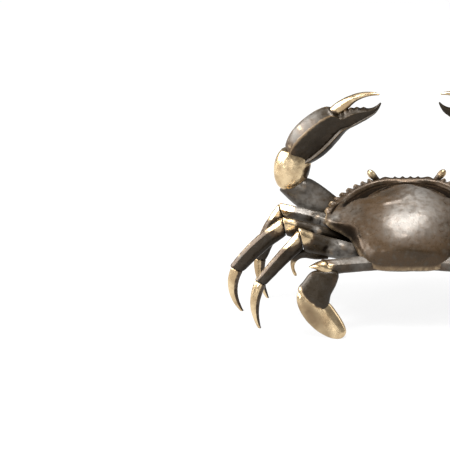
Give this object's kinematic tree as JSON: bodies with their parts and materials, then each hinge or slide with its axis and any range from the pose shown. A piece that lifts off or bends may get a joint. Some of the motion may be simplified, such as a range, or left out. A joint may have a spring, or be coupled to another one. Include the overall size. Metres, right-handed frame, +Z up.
{
  "type": "bronze crab figure",
  "caption": "Cast bronze crab figure with raised claws, a domed shell with a toothed front edge, bent walking legs and broad swimming paddles; it stands on toe tips and paddle edges.",
  "frame": {"origin": "centre of the figure's box, on the surface it stands on", "axes": "+Z up, +Y towards the crab's front, +X to the crab's right"},
  "size_m": [0.2422, 0.0892, 0.1482],
  "materials": {
    "dark_bronze": "dark brown patina, satin, rubbed bright on high edges",
    "worn_brass": "bare brass worn through the patina, polished, with dark stains in the hollows"
  },
  "bodies": {
    "root": {"upper_shell": "dark_bronze", "under_shell": "dark_bronze", "tail_flap": "dark_bronze", "mouth_plate_left": "dark_bronze", "claw_arm_left": "dark_bronze", "claw_palm_left": "dark_bronze", "swimming_arm_left": "dark_bronze", "swimming_plate_left": "dark_bronze", "front_thigh_left": "dark_bronze", "front_shin_left": "dark_bronze", "middle_thigh_left": "dark_bronze", "middle_shin_left": "dark_bronze", "rear_thigh_left": "dark_bronze", "rear_shin_left": "dark_bronze", "mouth_plate_right": "dark_bronze", "claw_arm_right": "dark_bronze", "claw_palm_right": "dark_bronze", "swimming_arm_right": "dark_bronze", "swimming_plate_right": "dark_bronze", "front_thigh_right": "dark_bronze", "front_shin_right": "dark_bronze", "middle_thigh_right": "dark_bronze", "middle_shin_right": "dark_bronze", "rear_thigh_right": "dark_bronze", "rear_shin_right": "dark_bronze", "eye_left": "worn_brass", "claw_wrist_left": "worn_brass", "claw_finger_left": "worn_brass", "swimming_wedge_left": "worn_brass", "paddle_left": "worn_brass", "front_toe_left": "worn_brass", "middle_toe_left": "worn_brass", "rear_toe_left": "worn_brass", "eye_right": "worn_brass", "claw_wrist_right": "worn_brass", "claw_finger_right": "worn_brass", "swimming_wedge_right": "worn_brass", "paddle_right": "worn_brass", "front_toe_right": "worn_brass", "middle_toe_right": "worn_brass", "rear_toe_right": "worn_brass"}
  },
  "joints": []
}
